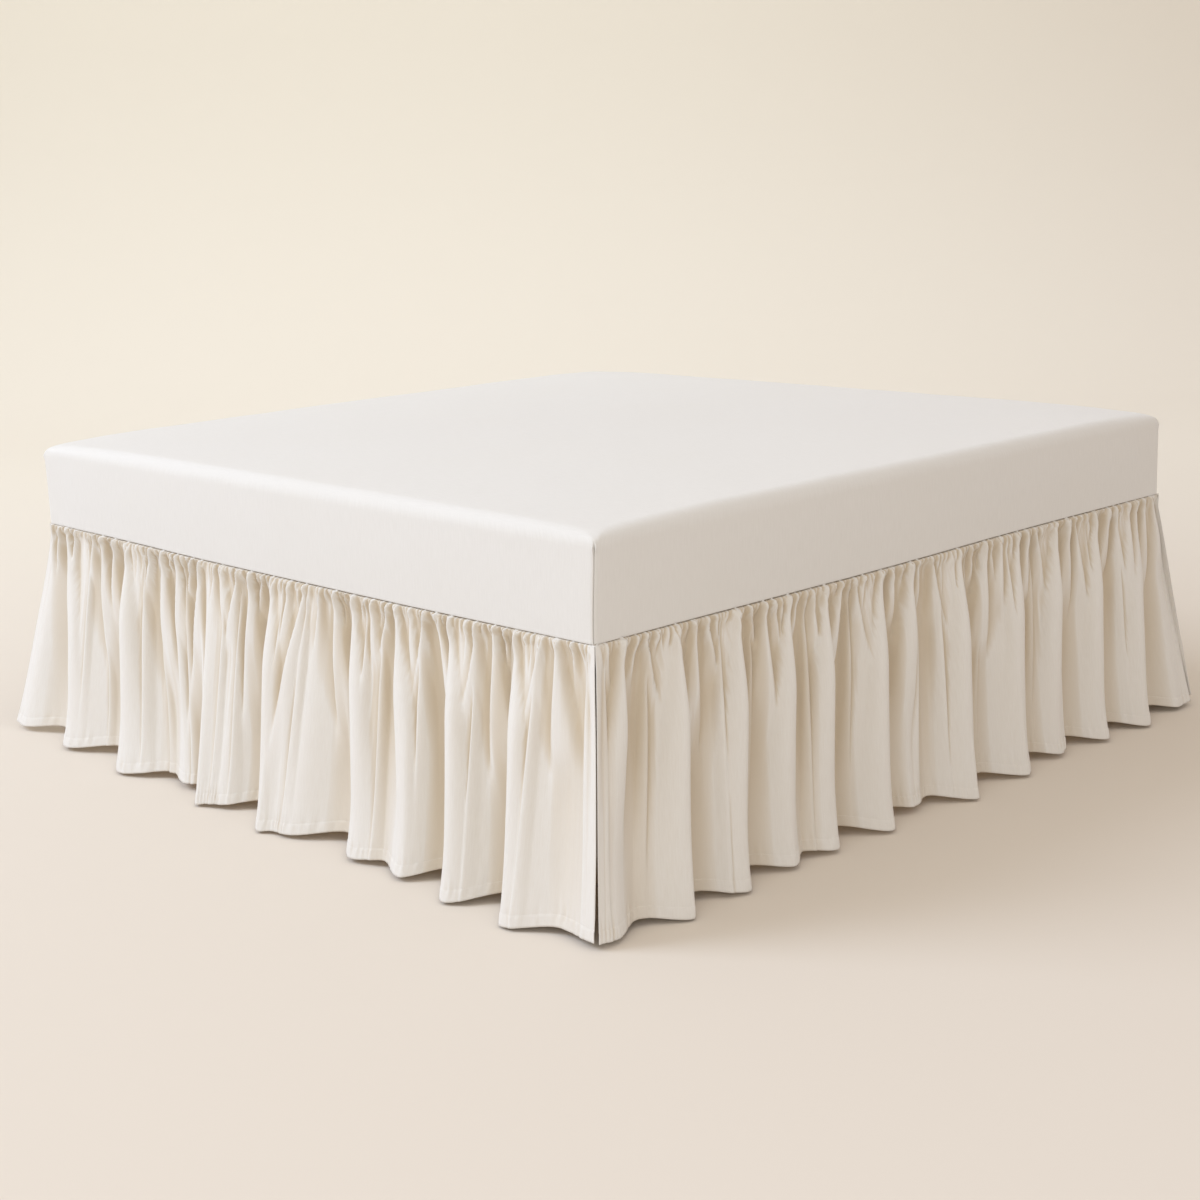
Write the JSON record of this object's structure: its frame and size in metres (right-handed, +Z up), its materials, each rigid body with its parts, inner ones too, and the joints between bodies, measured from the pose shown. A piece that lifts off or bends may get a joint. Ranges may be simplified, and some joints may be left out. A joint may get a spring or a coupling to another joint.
{
  "type": "gathered bed skirt on a mattress and bed base",
  "caption": "Bed skirt: a fitted cover over a mattress, with long gathered panels that hang from its edge to the floor, split at the foot corners.",
  "frame": {"origin": "on the floor, under the middle of the whole part with its flared panels", "axes": "+Z up, -Y towards the foot of the bed, +Y towards its open head end, +X to the right as seen from the foot"},
  "size_m": [2.2458, 2.235, 0.742],
  "materials": {
    "cover_cloth": "smooth matte white cotton",
    "skirt_cloth": "soft matte warm white cotton, gathered",
    "mattress_ticking": "plain white ticking",
    "base_fabric": "plain grey-beige cloth over a box base",
    "leg_wood": "plain round wooden leg"
  },
  "bodies": {
    "root": {"cover": "cover_cloth", "skirt_left": "skirt_cloth", "skirt_foot": "skirt_cloth", "skirt_right": "skirt_cloth", "mattress": "mattress_ticking", "bed_base": "base_fabric", "leg_centre": "leg_wood", "leg_foot_left": "leg_wood", "leg_foot_right": "leg_wood", "leg_head_left": "leg_wood", "leg_head_right": "leg_wood"}
  },
  "joints": []
}
